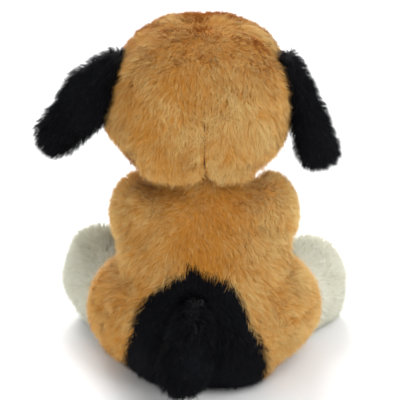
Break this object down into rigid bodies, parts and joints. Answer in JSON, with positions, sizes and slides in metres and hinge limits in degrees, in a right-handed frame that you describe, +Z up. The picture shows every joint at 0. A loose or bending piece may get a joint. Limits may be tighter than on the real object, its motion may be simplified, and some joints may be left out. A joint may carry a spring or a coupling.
{
  "type": "plush dog",
  "caption": "Sitting plush dog with a wide tan head, hanging black ears, stuffed limbs, cream paws and a black rump patch and tail.",
  "frame": {"origin": "on the floor, in the flat under the seat, midway between the hips", "axes": "+Z up, the dog faces -Y, +X is the dog's own left"},
  "size_m": [0.2059, 0.1868, 0.2406],
  "materials": {
    "tan_fur": "matte",
    "cream_fur": "matte",
    "black_fur": "matte",
    "filling": "matte",
    "pouch_cloth": "matte",
    "pellets": "matte",
    "black_plastic": "gloss",
    "washer_plastic": "satin",
    "thread": "satin"
  },
  "bodies": {
    "torso": {"back_panel_left": "tan_fur", "back_panel_right": "tan_fur", "rump_patch": "black_fur", "belly_panel": "cream_fur", "seat_panel": "black_fur", "torso_filling": "filling", "pellet_pouch": "pouch_cloth", "pellet_fill": "pellets"},
    "neck": {"neck_plug": "filling"},
    "head": {"head_back_left": "tan_fur", "head_back_right": "tan_fur", "face_panel_left": "tan_fur", "face_panel_right": "tan_fur", "blaze_panel": "cream_fur", "head_base_panel": "tan_fur", "muzzle_panel": "cream_fur", "chin_panel": "cream_fur", "head_filling": "filling", "eye_left": "black_plastic", "eye_right": "black_plastic", "eye_washer_left": "washer_plastic", "eye_washer_right": "washer_plastic", "nose": "black_plastic", "nose_washer": "washer_plastic", "mouth_stitching": "thread"},
    "ear_left": {"ear_left_outer": "black_fur", "ear_left_lining": "black_fur"},
    "ear_right": {"ear_right_outer": "black_fur", "ear_right_lining": "black_fur"},
    "arm_left": {"arm_left_sleeve": "tan_fur", "arm_left_paw": "cream_fur", "arm_left_filling": "filling"},
    "arm_right": {"arm_right_sleeve": "tan_fur", "arm_right_paw": "cream_fur", "arm_right_filling": "filling"},
    "leg_left": {"leg_left_thigh": "tan_fur", "leg_left_foot": "cream_fur", "leg_left_sole": "cream_fur", "leg_left_filling": "filling"},
    "leg_right": {"leg_right_thigh": "tan_fur", "leg_right_foot": "cream_fur", "leg_right_sole": "cream_fur", "leg_right_filling": "filling"},
    "tail_root": {"tail_root_plug": "filling"},
    "tail": {"tail_cover": "black_fur", "tail_filling": "filling"}
  },
  "joints": [
    {"name": "head_turn", "type": "hinge", "parent": "torso", "child": "neck", "pos_m": [0, -0.002, 0.138], "axis": [0, 0, 1], "range_deg": [-30, 30], "stiffness_Nm_per_rad": 0.6},
    {"name": "head_nod", "type": "hinge", "parent": "neck", "child": "head", "pos_m": [0, -0.002, 0.138], "axis": [1, 0, 0], "range_deg": [-10, 10], "stiffness_Nm_per_rad": 2},
    {"name": "ear_left_lift", "type": "hinge", "parent": "head", "child": "ear_left", "pos_m": [0.057, 0.006, 0.217], "axis": [0, -1, 0], "range_deg": [0, 35], "stiffness_Nm_per_rad": 0.05},
    {"name": "ear_right_lift", "type": "hinge", "parent": "head", "child": "ear_right", "pos_m": [-0.0525, 0.006, 0.217], "axis": [0, 1, 0], "range_deg": [0, 45], "stiffness_Nm_per_rad": 0.05},
    {"name": "arm_left_swing", "type": "hinge", "parent": "torso", "child": "arm_left", "pos_m": [0.04, -0.007, 0.111], "axis": [-0.9659, 0.2588, 0], "range_deg": [-2, 30], "stiffness_Nm_per_rad": 0.3},
    {"name": "arm_right_swing", "type": "hinge", "parent": "torso", "child": "arm_right", "pos_m": [-0.04, -0.007, 0.111], "axis": [-0.9659, -0.2588, 0], "range_deg": [-2, 30], "stiffness_Nm_per_rad": 0.3},
    {"name": "leg_left_lift", "type": "hinge", "parent": "torso", "child": "leg_left", "pos_m": [0.044, -0.006, 0.038], "axis": [-1, 0, 0], "range_deg": [-5, 10], "stiffness_Nm_per_rad": 1},
    {"name": "leg_right_lift", "type": "hinge", "parent": "torso", "child": "leg_right", "pos_m": [-0.044, -0.006, 0.038], "axis": [-1, 0, 0], "range_deg": [-5, 10], "stiffness_Nm_per_rad": 1},
    {"name": "tail_wag", "type": "hinge", "parent": "torso", "child": "tail_root", "pos_m": [0.006, 0.061, 0.07], "axis": [0, 1, 0], "range_deg": [-20, 20], "stiffness_Nm_per_rad": 0.05},
    {"name": "tail_lift", "type": "hinge", "parent": "tail_root", "child": "tail", "pos_m": [0.006, 0.061, 0.07], "axis": [1, 0, 0], "range_deg": [0, 50], "stiffness_Nm_per_rad": 0.05}
  ]
}
